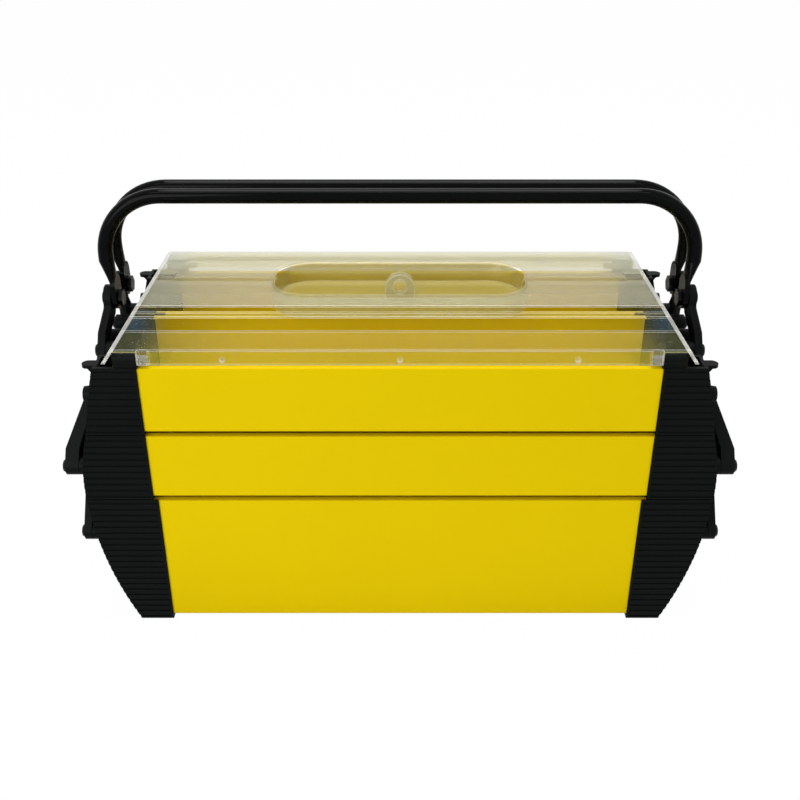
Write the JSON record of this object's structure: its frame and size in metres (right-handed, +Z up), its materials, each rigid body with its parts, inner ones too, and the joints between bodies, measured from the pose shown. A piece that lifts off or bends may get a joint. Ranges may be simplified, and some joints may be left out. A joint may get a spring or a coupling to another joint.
{
  "type": "cantilever toolbox",
  "caption": "Cantilever toolbox with painted sheet trays that fold out on levers, ribbed plastic end caps, clear hinged lids and folding tube handles.",
  "frame": {"origin": "centre of the footprint, on the surface the box stands on", "axes": "+X along the box length, to the right seen from the front; -Y is the front; +Z up"},
  "size_m": [0.4482, 0.176, 0.2915],
  "materials": {
    "yellow_paint": "powder-coated folded sheet steel, satin",
    "black_plastic": "moulded black polypropylene, ribbed, satin",
    "clear_plastic": "clear moulded plastic, lightly frosted on the deck",
    "black_gloss_paint": "gloss black painted steel tube",
    "dark_steel": "blackened steel pins, bolts and nuts"
  },
  "bodies": {
    "bottom_tray": {"bottom_tray_shell": "yellow_paint", "bottom_end_cap_left": "black_plastic", "bottom_end_cap_right": "black_plastic", "bottom_pivot_pins": "dark_steel"},
    "front_lower_levers": {"front_lower_lever_left": "black_plastic", "front_lower_lever_right": "black_plastic"},
    "front_lower_links": {"front_lower_link_left": "black_plastic", "front_lower_link_right": "black_plastic"},
    "front_middle_tray": {"front_middle_tray_shell": "yellow_paint", "front_middle_end_cap_left": "black_plastic", "front_middle_end_cap_right": "black_plastic", "front_middle_pivot_pins": "dark_steel"},
    "front_upper_levers": {"front_upper_lever_left": "black_plastic", "front_upper_lever_right": "black_plastic", "front_handle_bolts": "dark_steel", "front_handle_nuts": "dark_steel"},
    "front_upper_links": {"front_upper_link_left": "black_plastic", "front_upper_link_right": "black_plastic"},
    "front_top_tray": {"front_top_tray_shell": "yellow_paint", "front_top_end_cap_left": "black_plastic", "front_top_end_cap_right": "black_plastic", "front_top_pivot_pins": "dark_steel", "front_lid_hinge_pins": "dark_steel"},
    "front_lid": {"front_lid": "clear_plastic"},
    "front_handle": {"front_handle": "black_gloss_paint"},
    "rear_lower_levers": {"rear_lower_lever_left": "black_plastic", "rear_lower_lever_right": "black_plastic"},
    "rear_lower_links": {"rear_lower_link_left": "black_plastic", "rear_lower_link_right": "black_plastic"},
    "rear_middle_tray": {"rear_middle_tray_shell": "yellow_paint", "rear_middle_end_cap_left": "black_plastic", "rear_middle_end_cap_right": "black_plastic", "rear_middle_pivot_pins": "dark_steel"},
    "rear_upper_levers": {"rear_upper_lever_left": "black_plastic", "rear_upper_lever_right": "black_plastic", "rear_handle_bolts": "dark_steel", "rear_handle_nuts": "dark_steel"},
    "rear_upper_links": {"rear_upper_link_left": "black_plastic", "rear_upper_link_right": "black_plastic"},
    "rear_top_tray": {"rear_top_tray_shell": "yellow_paint", "rear_top_end_cap_left": "black_plastic", "rear_top_end_cap_right": "black_plastic", "rear_top_pivot_pins": "dark_steel", "rear_lid_hinge_pins": "dark_steel"},
    "rear_lid": {"rear_lid": "clear_plastic"},
    "rear_handle": {"rear_handle": "black_gloss_paint"}
  },
  "joints": [
    {"name": "front_fold", "type": "hinge", "parent": "bottom_tray", "child": "front_lower_levers", "pos_m": [0, -0.0788, 0.07], "axis": [1, 0, 0], "range_deg": [0, 72]},
    {"name": "front_lower_link_swing", "type": "hinge", "parent": "bottom_tray", "child": "front_lower_links", "pos_m": [0, -0.05757, 0.07], "axis": [1, 0, 0], "range_deg": [0, 72]},
    {"name": "front_middle_tray_level", "type": "hinge", "parent": "front_lower_levers", "child": "front_middle_tray", "pos_m": [0, -0.03395, 0.134], "axis": [1, 0, 0], "range_deg": [-72, 0]},
    {"name": "front_upper_lever_swing", "type": "hinge", "parent": "front_middle_tray", "child": "front_upper_levers", "pos_m": [0, -0.0788, 0.1226], "axis": [1, 0, 0], "range_deg": [0, 72]},
    {"name": "front_upper_link_swing", "type": "hinge", "parent": "front_middle_tray", "child": "front_upper_links", "pos_m": [0, -0.05757, 0.1226], "axis": [1, 0, 0], "range_deg": [0, 72]},
    {"name": "front_top_tray_level", "type": "hinge", "parent": "front_upper_levers", "child": "front_top_tray", "pos_m": [0, -0.03395, 0.1866], "axis": [1, 0, 0], "range_deg": [-72, 0]},
    {"name": "front_lid_hinge", "type": "hinge", "parent": "front_top_tray", "child": "front_lid", "pos_m": [0, -0.0835, 0.204], "axis": [1, 0, 0], "range_deg": [0, 105]},
    {"name": "front_handle_fold", "type": "hinge", "parent": "front_upper_levers", "child": "front_handle", "pos_m": [0, -0.013, 0.2165], "axis": [1, 0, 0], "range_deg": [0, 30]},
    {"name": "rear_fold", "type": "hinge", "parent": "bottom_tray", "child": "rear_lower_levers", "pos_m": [0, 0.0788, 0.07], "axis": [-1, 0, 0], "range_deg": [0, 72]},
    {"name": "rear_lower_link_swing", "type": "hinge", "parent": "bottom_tray", "child": "rear_lower_links", "pos_m": [0, 0.05757, 0.07], "axis": [-1, 0, 0], "range_deg": [0, 72]},
    {"name": "rear_middle_tray_level", "type": "hinge", "parent": "rear_lower_levers", "child": "rear_middle_tray", "pos_m": [0, 0.03395, 0.134], "axis": [-1, 0, 0], "range_deg": [-72, 0]},
    {"name": "rear_upper_lever_swing", "type": "hinge", "parent": "rear_middle_tray", "child": "rear_upper_levers", "pos_m": [0, 0.0788, 0.1226], "axis": [-1, 0, 0], "range_deg": [0, 72]},
    {"name": "rear_upper_link_swing", "type": "hinge", "parent": "rear_middle_tray", "child": "rear_upper_links", "pos_m": [0, 0.05757, 0.1226], "axis": [-1, 0, 0], "range_deg": [0, 72]},
    {"name": "rear_top_tray_level", "type": "hinge", "parent": "rear_upper_levers", "child": "rear_top_tray", "pos_m": [0, 0.03395, 0.1866], "axis": [-1, 0, 0], "range_deg": [-72, 0]},
    {"name": "rear_lid_hinge", "type": "hinge", "parent": "rear_top_tray", "child": "rear_lid", "pos_m": [0, 0.0835, 0.204], "axis": [-1, 0, 0], "range_deg": [0, 105]},
    {"name": "rear_handle_fold", "type": "hinge", "parent": "rear_upper_levers", "child": "rear_handle", "pos_m": [0, 0.013, 0.2165], "axis": [-1, 0, 0], "range_deg": [0, 30]}
  ],
  "couplings": [
    {"joint": "front_lower_link_swing", "follows": "front_fold", "ratio": 1},
    {"joint": "front_middle_tray_level", "follows": "front_fold", "ratio": -1},
    {"joint": "front_upper_lever_swing", "follows": "front_fold", "ratio": 1},
    {"joint": "front_upper_link_swing", "follows": "front_fold", "ratio": 1},
    {"joint": "front_top_tray_level", "follows": "front_fold", "ratio": -1},
    {"joint": "rear_lower_link_swing", "follows": "rear_fold", "ratio": 1},
    {"joint": "rear_middle_tray_level", "follows": "rear_fold", "ratio": -1},
    {"joint": "rear_upper_lever_swing", "follows": "rear_fold", "ratio": 1},
    {"joint": "rear_upper_link_swing", "follows": "rear_fold", "ratio": 1},
    {"joint": "rear_top_tray_level", "follows": "rear_fold", "ratio": -1}
  ]
}
